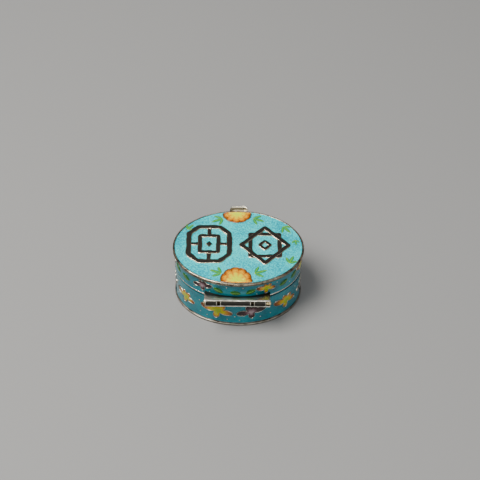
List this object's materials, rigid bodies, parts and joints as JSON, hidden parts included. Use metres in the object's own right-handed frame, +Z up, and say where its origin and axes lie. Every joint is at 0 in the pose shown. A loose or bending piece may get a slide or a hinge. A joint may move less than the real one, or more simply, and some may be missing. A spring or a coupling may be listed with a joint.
{
  "type": "hinged pill box",
  "caption": "Oval pill box in silver and painted enamel, with a snap lid on a barrel hinge, a thumb tab and raised ornament.",
  "frame": {"origin": "centre of the underside", "axes": "+Z up through the lid, X along the box's length, -Y towards the hinge, +Y towards the thumb tab"},
  "size_m": [0.038, 0.0336, 0.0181],
  "materials": {
    "silver": "softly worn silver with dark tarnish in its corners",
    "silver_wire": "rounded silver wire, bright on its crests",
    "gilt_silver": "thin satin gilding inside",
    "dark_silver": "oxidised silver, dark on top with bright edges",
    "brass_pin": "worn yellow metal",
    "turquoise_enamel": "glossy translucent enamel over a hammered ground",
    "teal_enamel": "glossy enamel",
    "orange_enamel": "glossy enamel shaded from yellow to orange brown",
    "rose_enamel": "glossy enamel shaded from pale rose to maroon",
    "green_enamel": "glossy enamel"
  },
  "bodies": {
    "base": {"base_plate": "silver", "base_foot_wire": "silver_wire", "base_wall": "gilt_silver", "base_mouth_wire": "silver_wire", "base_bezel": "gilt_silver", "base_enamel": "teal_enamel", "base_orange_blossoms": "orange_enamel", "base_rose_blossoms": "rose_enamel", "base_blossom_wires": "silver_wire", "base_wire_dots": "silver_wire", "base_hinge_strip": "silver", "base_knuckle": "silver", "hinge_pin": "brass_pin", "catch_pip": "gilt_silver"},
    "lid": {"lid_wall": "gilt_silver", "lid_mouth_wire": "silver_wire", "lid_enamel": "teal_enamel", "lid_orange_blossoms": "orange_enamel", "lid_rose_blossoms": "rose_enamel", "lid_blossom_wires": "silver_wire", "lid_wall_leaves": "green_enamel", "lid_wire_dots": "silver_wire", "lid_top_plate": "gilt_silver", "lid_rim": "silver_wire", "lid_top_enamel": "turquoise_enamel", "lid_top_leaves": "green_enamel", "lid_flower_edges": "silver_wire", "fret_panel_left": "dark_silver", "fret_panel_right": "dark_silver", "lid_flower_hinge_side": "orange_enamel", "lid_flower_tab_side": "orange_enamel", "lid_hinge_strip": "silver", "lid_knuckle_left": "silver", "lid_knuckle_right": "silver", "thumb_tab": "silver"}
  },
  "joints": [
    {"name": "lid_hinge", "type": "hinge", "parent": "base", "child": "lid", "pos_m": [0, -0.0156, 0.0112], "axis": [1, 0, 0], "range_deg": [0, 118]}
  ]
}
